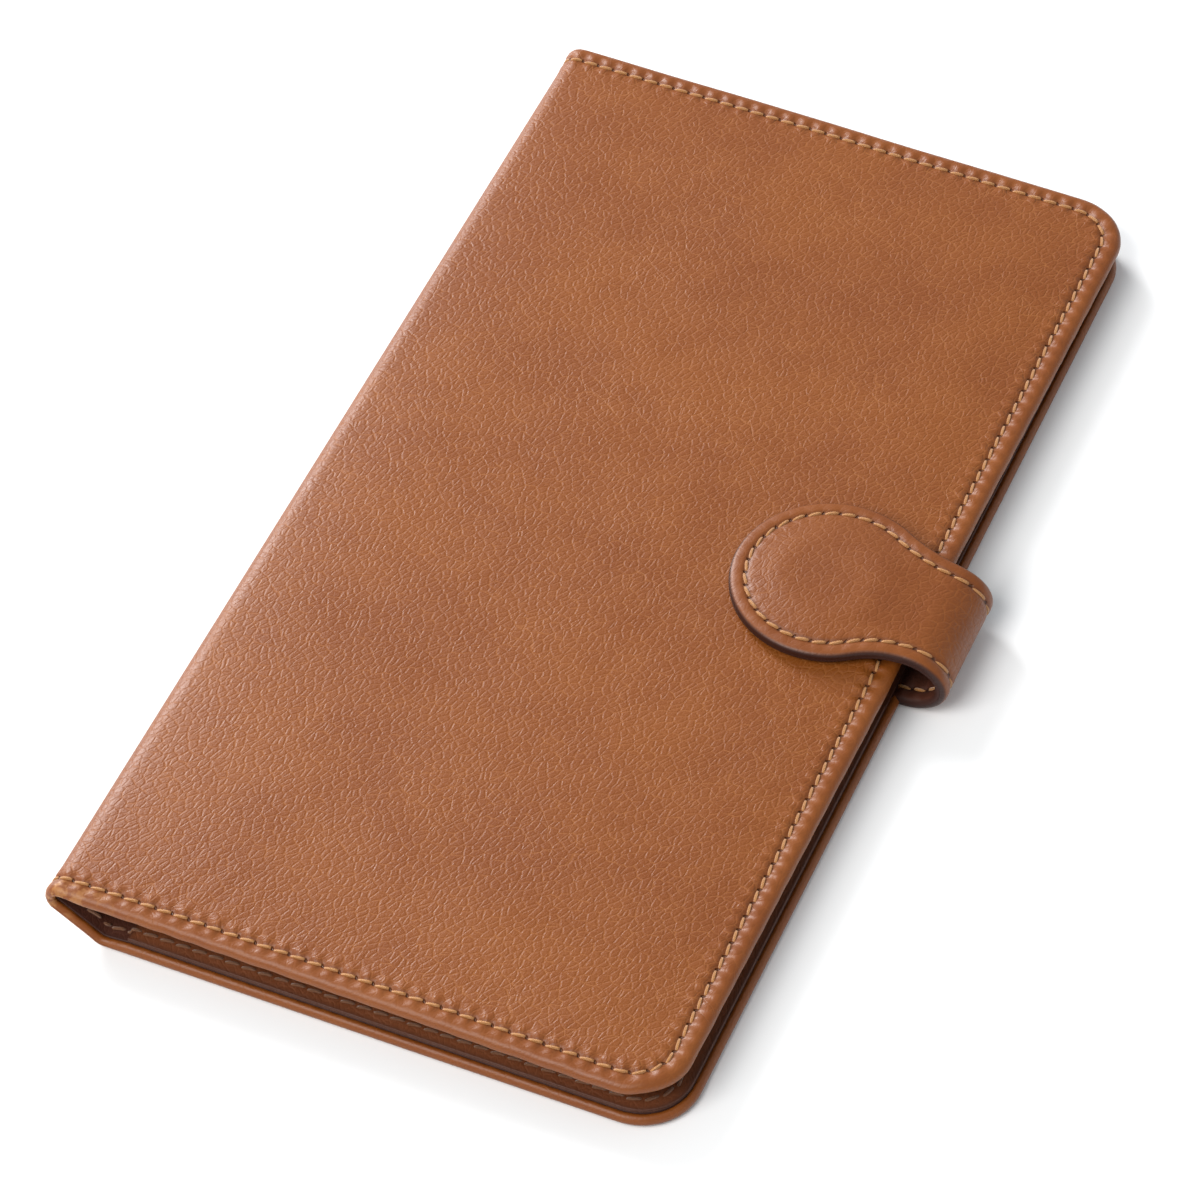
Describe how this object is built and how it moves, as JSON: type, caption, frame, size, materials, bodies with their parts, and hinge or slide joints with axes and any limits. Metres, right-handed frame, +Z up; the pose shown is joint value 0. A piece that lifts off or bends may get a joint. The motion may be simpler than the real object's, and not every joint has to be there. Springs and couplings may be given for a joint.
{
  "type": "long wallet",
  "caption": "Long leather travel wallet that opens like a book on a soft spine, with ticket pockets, passport pocket and card slots inside and a looped tab on a magnetic snap.",
  "frame": {"origin": "middle of the closed covers' footprint, on the back cover's outside face that the wallet rests on", "axes": "+X from the spine to the free edge where the tab is, +Y along the spine, +Z up through the closed wallet"},
  "size_m": [0.1274, 0.23, 0.0158],
  "materials": {
    "outer_leather": "tan full-grain leather, fine pebble, soft sheen",
    "lining_leather": "reddish-brown smooth leather, matt",
    "pocket_leather": "tan thin leather, satin",
    "thread": "golden tan waxed polyester thread",
    "paperboard": "grey-brown board, matt",
    "padding": "pale felt, matt",
    "brass": "satin antique brass",
    "magnet": "dark sintered magnet"
  },
  "bodies": {
    "back_cover": {"back_outer_leather": "outer_leather", "back_seam_thread": "thread", "back_board": "paperboard", "back_padding": "padding", "back_lining": "lining_leather", "back_ticket_pocket": "pocket_leather", "back_passport_pocket": "pocket_leather", "strap_root_outer": "outer_leather", "strap_root_lining": "lining_leather"},
    "spine": {"spine_outer_leather": "outer_leather", "spine_lining": "lining_leather"},
    "front_cover": {"front_outer_leather": "outer_leather", "front_seam_thread": "thread", "front_board": "paperboard", "front_padding": "padding", "front_lining": "lining_leather", "front_ticket_pocket": "pocket_leather", "card_slot_1": "pocket_leather", "card_slot_2": "pocket_leather", "card_slot_3": "pocket_leather", "card_slot_4": "pocket_leather", "magnet_plate": "brass", "magnet_ring": "magnet", "magnet_case": "brass", "magnet_washer": "brass"},
    "strap_link_1": {"strap_link_1_outer": "outer_leather", "strap_link_1_lining": "lining_leather"},
    "strap_link_2": {"strap_link_2_outer": "outer_leather", "strap_link_2_lining": "lining_leather"},
    "strap_link_3": {"strap_link_3_outer": "outer_leather", "strap_link_3_lining": "lining_leather"},
    "strap_link_4": {"strap_link_4_outer": "outer_leather", "strap_link_4_lining": "lining_leather"},
    "tab": {"tab_outer_leather": "outer_leather", "tab_seam_thread": "thread", "tab_core": "paperboard", "tab_lining": "lining_leather", "stud_plate": "brass", "stud_washer": "brass"}
  },
  "joints": [
    {"name": "front_cover_open", "type": "hinge", "parent": "spine", "child": "front_cover", "pos_m": [-0.05923, 0, 0.0115], "axis": [0, -1, 0], "range_deg": [0, 129], "deforming": ["tab_outer_leather", "tab_seam_thread", "tab_core", "tab_lining", "stud_plate", "stud_washer"]},
    {"name": "spine_open", "type": "hinge", "parent": "back_cover", "child": "spine", "pos_m": [-0.05, 0, 0.0005], "axis": [0, -1, 0], "range_deg": [0, 48]},
    {"name": "tab_open", "type": "hinge", "parent": "back_cover", "child": "strap_link_1", "pos_m": [0.06248, 0.002, 0.00147], "axis": [0, 1, 0], "range_deg": [0, 36]},
    {"name": "strap_bend_2", "type": "hinge", "parent": "strap_link_1", "child": "strap_link_2", "pos_m": [0.06593, 0.002, 0.00398], "axis": [0, 1, 0], "range_deg": [0, 36]},
    {"name": "strap_bend_3", "type": "hinge", "parent": "strap_link_2", "child": "strap_link_3", "pos_m": [0.06725, 0.002, 0.00804], "axis": [0, 1, 0], "range_deg": [0, 36]},
    {"name": "strap_bend_4", "type": "hinge", "parent": "strap_link_3", "child": "strap_link_4", "pos_m": [0.06593, 0.002, 0.01209], "axis": [0, 1, 0], "range_deg": [0, 36]},
    {"name": "strap_bend_5", "type": "hinge", "parent": "strap_link_4", "child": "tab", "pos_m": [0.06248, 0.002, 0.0146], "axis": [0, 1, 0], "range_deg": [0, 36]}
  ],
  "couplings": [
    {"joint": "spine_open", "follows": "front_cover_open", "ratio": 0.372},
    {"joint": "strap_bend_2", "follows": "tab_open", "ratio": 1},
    {"joint": "strap_bend_3", "follows": "tab_open", "ratio": 1},
    {"joint": "strap_bend_4", "follows": "tab_open", "ratio": 1},
    {"joint": "strap_bend_5", "follows": "tab_open", "ratio": 1}
  ]
}
